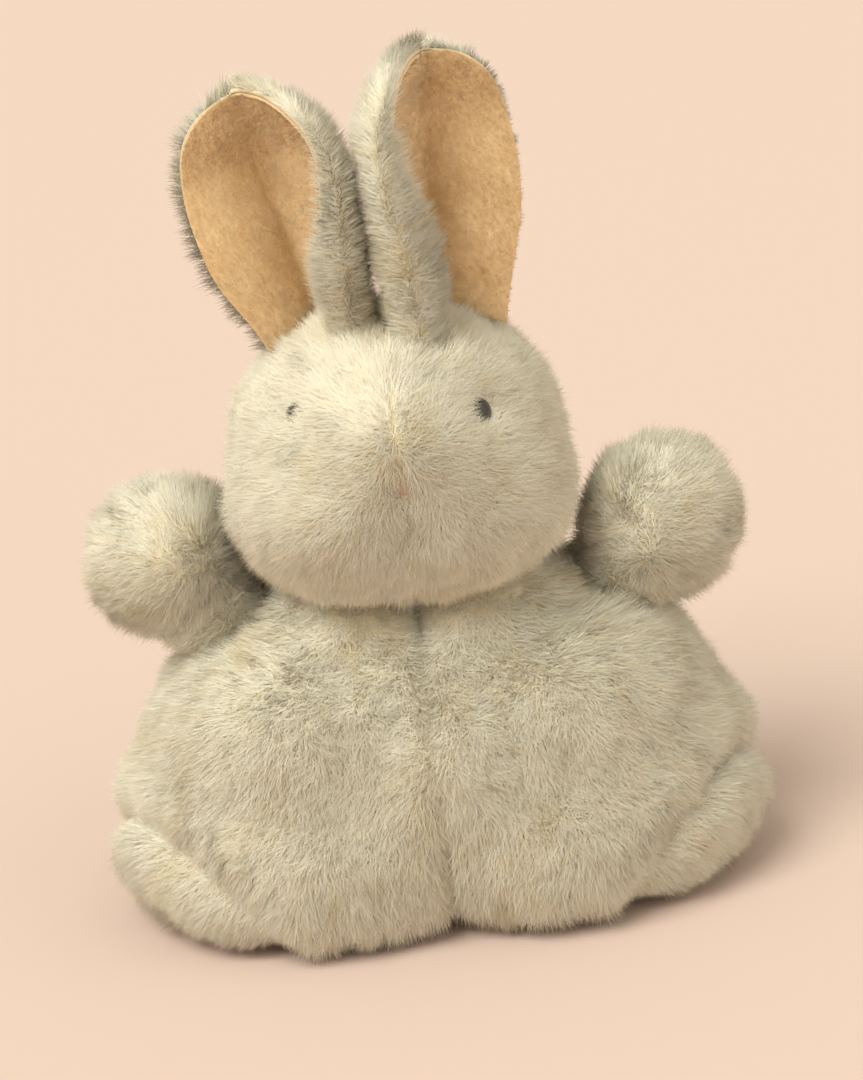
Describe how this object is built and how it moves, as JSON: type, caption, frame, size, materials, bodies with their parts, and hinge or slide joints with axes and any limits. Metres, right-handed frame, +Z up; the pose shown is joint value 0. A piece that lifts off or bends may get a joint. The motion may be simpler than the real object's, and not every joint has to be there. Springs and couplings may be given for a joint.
{
  "type": "stuffed bunny rabbit",
  "caption": "Sitting plush rabbit with cupped upright ears, a round head, short raised arms and a wide, low body with flat soles and a small round tail.",
  "frame": {"origin": "on the surface the toy sits on, under the middle of its bounding box", "axes": "+Z up, the face looks towards -Y, the toy's own left side is on +X"},
  "size_m": [0.172, 0.124, 0.2371],
  "materials": {
    "pile": "cream pile fabric, hair about 8 mm long",
    "lining": "short-pile velour, warm peach",
    "fibre": "loose polyester fibre filling",
    "thread": "twisted sewing and embroidery thread",
    "eye": "polished dome",
    "washer": "moulded, unpainted"
  },
  "bodies": {
    "torso": {"body_front_left": "pile", "body_front_right": "pile", "body_back_left": "pile", "body_back_right": "pile", "left_sole": "pile", "right_sole": "pile", "base_panel": "pile", "body_filling": "fibre", "closing_stitches": "thread", "tail_cover": "pile", "tail_filling": "fibre"},
    "neck": {"neck_filling": "fibre", "neck_thread": "thread"},
    "head": {"head_front_left": "pile", "head_front_right": "pile", "head_back_left": "pile", "head_back_right": "pile", "head_filling": "fibre", "left_eye": "eye", "right_eye": "eye", "left_eye_washer": "washer", "right_eye_washer": "washer", "nose_stitching": "thread"},
    "left_ear": {"left_ear_back": "pile", "left_ear_lining": "lining"},
    "right_ear": {"right_ear_back": "pile", "right_ear_lining": "lining"},
    "left_arm": {"left_arm_front": "pile", "left_arm_back": "pile", "left_arm_filling": "fibre"},
    "right_arm": {"right_arm_front": "pile", "right_arm_back": "pile", "right_arm_filling": "fibre"}
  },
  "joints": [
    {"name": "neck_turn", "type": "hinge", "parent": "torso", "child": "neck", "pos_m": [0, -0.014, 0.1], "axis": [0, 0, 1], "range_deg": [-30, 30], "stiffness_Nm_per_rad": 0.3},
    {"name": "neck_nod", "type": "hinge", "parent": "neck", "child": "head", "pos_m": [0, -0.014, 0.1], "axis": [1, 0, 0], "range_deg": [-15, 15], "stiffness_Nm_per_rad": 0.3},
    {"name": "left_arm_swing", "type": "hinge", "parent": "torso", "child": "left_arm", "pos_m": [0.0532, -0.009, 0.0788], "axis": [0.7837, 0, -0.6212], "range_deg": [-40, 40], "stiffness_Nm_per_rad": 0.04},
    {"name": "right_arm_swing", "type": "hinge", "parent": "torso", "child": "right_arm", "pos_m": [-0.0532, -0.009, 0.0788], "axis": [0.7837, 0, 0.6212], "range_deg": [-40, 40], "stiffness_Nm_per_rad": 0.04},
    {"name": "left_ear_bend", "type": "hinge", "parent": "head", "child": "left_ear", "pos_m": [0.0175, -0.014, 0.16028], "axis": [0.9945, 0, -0.1045], "range_deg": [-35, 35], "stiffness_Nm_per_rad": 0.02},
    {"name": "right_ear_bend", "type": "hinge", "parent": "head", "child": "right_ear", "pos_m": [-0.0175, -0.014, 0.16028], "axis": [0.9781, 0, 0.2079], "range_deg": [-35, 35], "stiffness_Nm_per_rad": 0.02}
  ]
}
